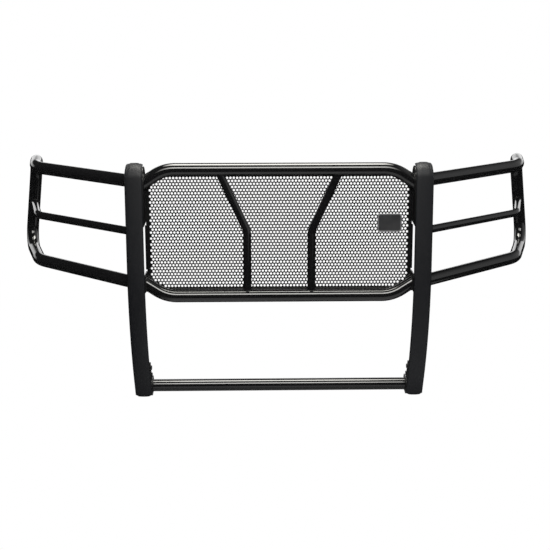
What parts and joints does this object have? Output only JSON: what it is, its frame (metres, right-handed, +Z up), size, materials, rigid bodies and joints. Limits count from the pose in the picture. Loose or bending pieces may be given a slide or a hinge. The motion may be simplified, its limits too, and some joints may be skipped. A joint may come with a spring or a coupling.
{
  "type": "front grille guard",
  "caption": "Welded tube grille guard with curved uprights, a screened centre frame, a lower crossbar and wrap-around headlight wings; it bolts to a vehicle at its two feet.",
  "frame": {"origin": "middle of the guard's overall box, at the height of the uprights' lowest edge", "axes": "+X across the vehicle to the right seen from the front, -Y forwards, +Z up"},
  "size_m": [1.954, 0.4926, 0.8625],
  "materials": {
    "gloss_black_tube": "gloss black powder coat",
    "black_plate": "gloss black powder coat on flat plate",
    "screen_sheet": "satin black powder coat on punched sheet",
    "strip_moulding": "matte grained dark grey moulding",
    "badge_plastic": "blank satin grey badge with a raised rim",
    "black_fastener": "black coated steel"
  },
  "bodies": {
    "root": {"left_channel": "black_plate", "right_channel": "black_plate", "left_face_strip": "strip_moulding", "right_face_strip": "strip_moulding", "left_side_plate": "black_plate", "right_side_plate": "black_plate", "left_upper_gusset": "black_plate", "right_upper_gusset": "black_plate", "left_tube_gusset": "black_plate", "right_tube_gusset": "black_plate", "left_foot_plate": "black_plate", "right_foot_plate": "black_plate", "centre_top_tube": "gloss_black_tube", "centre_bottom_tube": "gloss_black_tube", "lower_crossbar": "gloss_black_tube", "left_brace": "gloss_black_tube", "right_brace": "gloss_black_tube", "screen": "screen_sheet", "left_wing_hoop": "gloss_black_tube", "right_wing_hoop": "gloss_black_tube", "left_wing_mid_tube": "gloss_black_tube", "right_wing_mid_tube": "gloss_black_tube", "badge_plate": "badge_plastic", "badge_clip_left": "black_plate", "badge_clip_right": "black_plate", "left_foot_bolt_lower": "black_fastener", "left_foot_bolt_upper": "black_fastener", "right_foot_bolt_lower": "black_fastener", "right_foot_bolt_upper": "black_fastener", "left_foot_nut_lower": "black_fastener", "left_foot_nut_upper": "black_fastener", "right_foot_nut_lower": "black_fastener", "right_foot_nut_upper": "black_fastener"}
  },
  "joints": []
}
